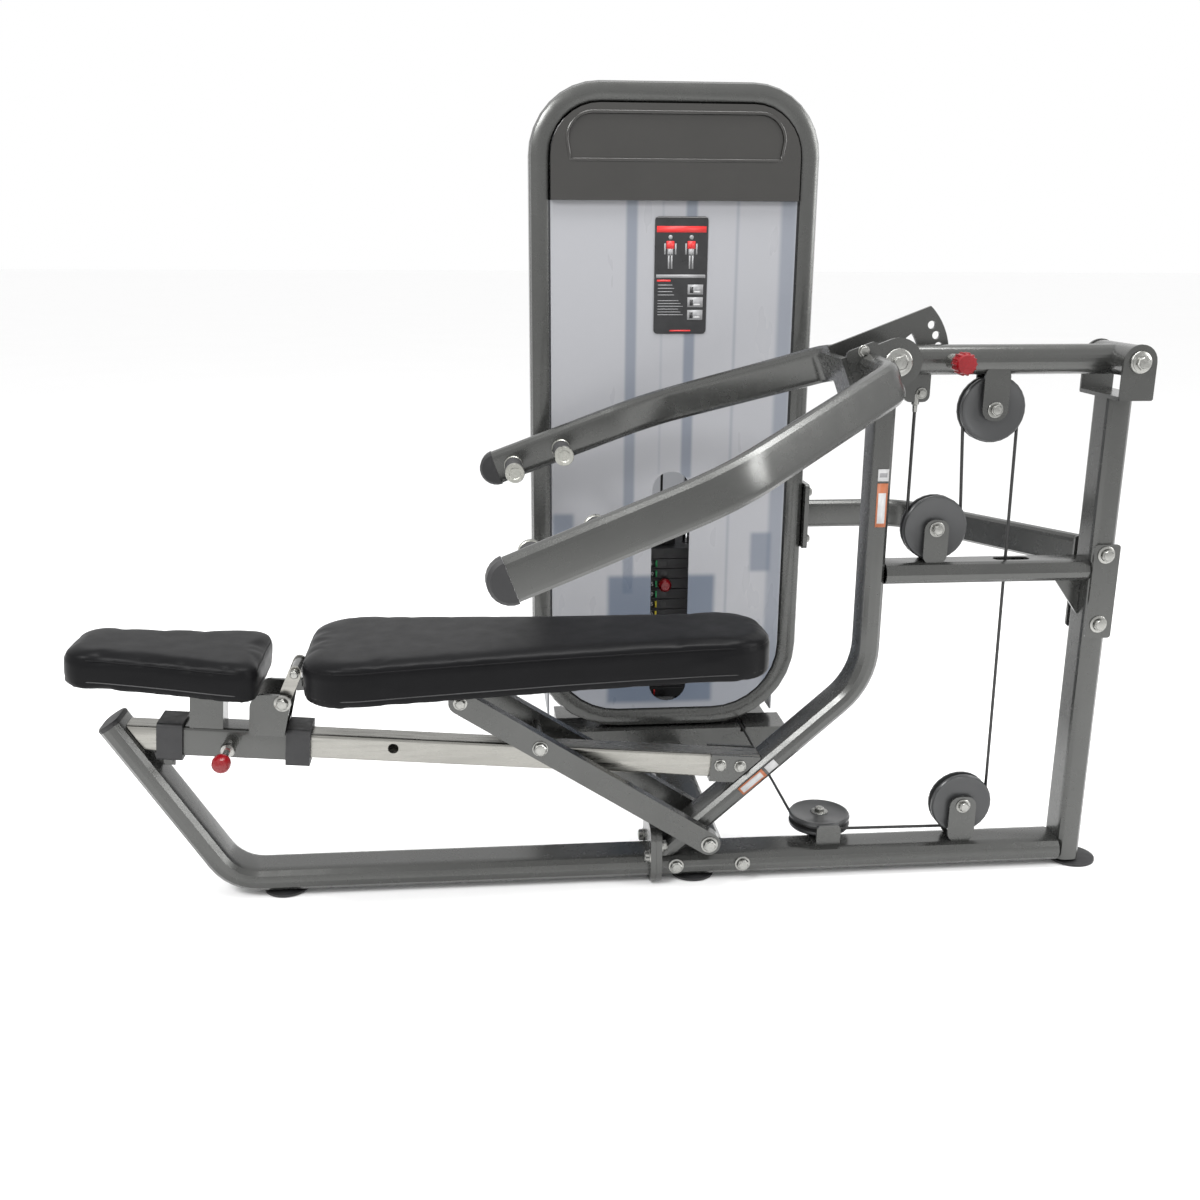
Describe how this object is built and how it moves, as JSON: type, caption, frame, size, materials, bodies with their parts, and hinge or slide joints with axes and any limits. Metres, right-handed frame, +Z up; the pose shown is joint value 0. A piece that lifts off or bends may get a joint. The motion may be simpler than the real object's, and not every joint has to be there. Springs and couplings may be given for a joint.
{
  "type": "selectorized multi-press machine",
  "caption": "Multi-press gym machine: sliding adjustable bench on a rail, lever with two pressing arms, cable pulleys and a shrouded weight tower.",
  "frame": {"origin": "centre of the bounding box's bottom face, on the floor", "axes": "+X along the bench from the seat end to the rear upright, +Y from the bench to the weight tower, +Z up"},
  "size_m": [1.9871, 1.3253, 1.53],
  "materials": {
    "grey_paint": "satin metallic grey powder coat",
    "black_rubber": "matte black moulding",
    "pulley_cover": "grey steel cheeks on a black wheel",
    "grip_rubber": "black grip with a bare aluminium end",
    "chrome": "polished plating",
    "red_knob": "gloss red knob on a steel pin",
    "black_vinyl": "black upholstery vinyl with piped seams",
    "stack_iron": "black steel plates",
    "grey_shroud": "thin pale grey-blue sheet",
    "placard": null,
    "cable_jacket": "black nylon jacket"
  },
  "bodies": {
    "frame": {"base_front_tube": "grey_paint", "base_front_end_cap": "black_rubber", "base_main_beam": "grey_paint", "front_upright": "grey_paint", "rear_upright": "grey_paint", "mid_beam": "grey_paint", "foot_front": "black_rubber", "foot_mid": "black_rubber", "foot_rear": "black_rubber", "brace_tube": "grey_paint", "brace_clamp_plate": "grey_paint", "lever_stop": "black_rubber", "seat_rail": "chrome", "rail_front_bracket": "grey_paint", "rail_rear_bracket": "grey_paint", "tower_frame": "grey_paint", "tower_base": "grey_paint", "tower_link_beam": "grey_paint", "head_cover": "grey_paint", "front_shroud": "grey_shroud", "rear_shroud": "grey_shroud", "instruction_placard": "placard", "weight_stack_lower": "stack_iron", "guide_rod_left": "chrome", "guide_rod_right": "chrome", "top_pulley_bracket": "grey_paint", "cable": "cable_jacket"},
    "lever": {"lever_beam": "grey_paint"},
    "adjust_pin": {"adjust_pin": "red_knob"},
    "arms": {"arm_bracket": "grey_paint", "arm_near": "grey_paint", "arm_far": "grey_paint", "arm_cap_near": "black_rubber", "arm_cap_far": "black_rubber", "handle_near_outer": "grip_rubber", "handle_near_inner": "grip_rubber", "handle_far_outer": "grip_rubber", "handle_far_inner": "grip_rubber"},
    "carriage": {"carriage_sleeve": "grey_paint", "bushing_front": "black_rubber", "bushing_rear": "black_rubber", "hinge_ears": "chrome", "seat_pad": "black_vinyl"},
    "back": {"back_frame": "grey_paint", "back_pad": "black_vinyl"},
    "link": {"link_near": "grey_paint", "link_far": "grey_paint"},
    "pull_pin": {"pull_pin": "red_knob"},
    "stack": {"weight_stack_lifted": "stack_iron", "head_plate": "stack_iron", "selector_rod": "chrome"},
    "weight_pin": {"weight_pin": "red_knob"},
    "lever_sheave": {"lever_sheave": "pulley_cover"},
    "mid_sheave": {"mid_sheave": "pulley_cover"},
    "base_sheave": {"base_sheave": "pulley_cover"},
    "turn_sheave": {"turn_sheave": "pulley_cover"},
    "tower_sheave": {"tower_sheave": "pulley_cover"},
    "top_right_sheave": {"top_right_sheave": "pulley_cover"},
    "top_left_sheave": {"top_left_sheave": "pulley_cover"}
  },
  "joints": [
    {"name": "lever_press", "type": "hinge", "parent": "frame", "child": "lever", "pos_m": [0.9266, -0.15235, 1.004], "axis": [0, 1, 0], "range_deg": [0, 28], "deforming": ["cable"]},
    {"name": "arm_adjust", "type": "hinge", "parent": "lever", "child": "arms", "pos_m": [0.4956, -0.15235, 1.003], "axis": [0, 1, 0], "range_deg": [0, 33]},
    {"name": "adjust_pin_pull", "type": "slide", "parent": "lever", "child": "adjust_pin", "axis": [0, -1, 0], "range_m": [0, 0.018], "stiffness_N_per_m": 600},
    {"name": "carriage_slide", "type": "slide", "parent": "frame", "child": "carriage", "axis": [0.9964, 0, -0.0842], "range_m": [0, 0.295]},
    {"name": "back_tilt", "type": "hinge", "parent": "carriage", "child": "back", "pos_m": [-0.5844, -0.15235, 0.451], "axis": [0, -1, 0], "range_deg": [0, 46.6]},
    {"name": "link_swing", "type": "hinge", "parent": "back", "child": "link", "pos_m": [-0.2864, -0.15235, 0.398], "axis": [0, 1, 0], "range_deg": [0, 80]},
    {"name": "pull_pin_pull", "type": "slide", "parent": "carriage", "child": "pull_pin", "axis": [0, -1, 0], "range_m": [0, 0.01], "stiffness_N_per_m": 600},
    {"name": "stack_lift", "type": "slide", "parent": "frame", "child": "stack", "axis": [0, 0, 1], "range_m": [0, 0.41]},
    {"name": "weight_pin_pull", "type": "slide", "parent": "stack", "child": "weight_pin", "axis": [0, -1, 0], "range_m": [0, 0.0525]},
    {"name": "lever_sheave_spin", "type": "hinge", "parent": "lever", "child": "lever_sheave", "pos_m": [0.6926, -0.15235, 0.915], "axis": [0, 1, 0], "range_deg": [-302.8, 0]},
    {"name": "mid_sheave_spin", "type": "hinge", "parent": "frame", "child": "mid_sheave", "pos_m": [0.6016, -0.15235, 0.695], "axis": [0, 1, 0], "range_deg": [0, 203.1]},
    {"name": "base_sheave_spin", "type": "hinge", "parent": "frame", "child": "base_sheave", "pos_m": [0.7006, -0.15235, 0.133], "axis": [0, 1, 0], "range_deg": [-455.1, 0]},
    {"name": "turn_sheave_spin", "type": "hinge", "parent": "frame", "child": "turn_sheave", "pos_m": [0.4306, -0.10035, 0.084], "axis": [0, 0, 1], "range_deg": [0, 455.1]},
    {"name": "tower_sheave_spin", "type": "hinge", "parent": "frame", "child": "tower_sheave", "pos_m": [0.3786, 0.54215, 0.124], "axis": [1, 0, 0], "range_deg": [-589.8, 0]},
    {"name": "top_right_sheave_spin", "type": "hinge", "parent": "frame", "child": "top_right_sheave", "pos_m": [0.3386, 0.58215, 1.4], "axis": [0, 1, 0], "range_deg": [0, 589.8]},
    {"name": "top_left_sheave_spin", "type": "hinge", "parent": "frame", "child": "top_left_sheave", "pos_m": [0.2356, 0.58215, 1.4], "axis": [0, 1, 0], "range_deg": [0, 589.8]}
  ],
  "couplings": [
    {"joint": "back_tilt", "follows": "carriage_slide", "rad_per_m": 2.7358},
    {"joint": "link_swing", "follows": "carriage_slide", "rad_per_m": 4.6942},
    {"joint": "stack_lift", "follows": "lever_press", "m_per_rad": 0.834},
    {"joint": "lever_sheave_spin", "follows": "lever_press", "ratio": -10.6},
    {"joint": "mid_sheave_spin", "follows": "lever_press", "ratio": 7.04},
    {"joint": "base_sheave_spin", "follows": "lever_press", "ratio": -16.04},
    {"joint": "turn_sheave_spin", "follows": "lever_press", "ratio": 16.04},
    {"joint": "tower_sheave_spin", "follows": "lever_press", "ratio": -20.85},
    {"joint": "top_right_sheave_spin", "follows": "lever_press", "ratio": 20.85},
    {"joint": "top_left_sheave_spin", "follows": "lever_press", "ratio": 20.85}
  ]
}
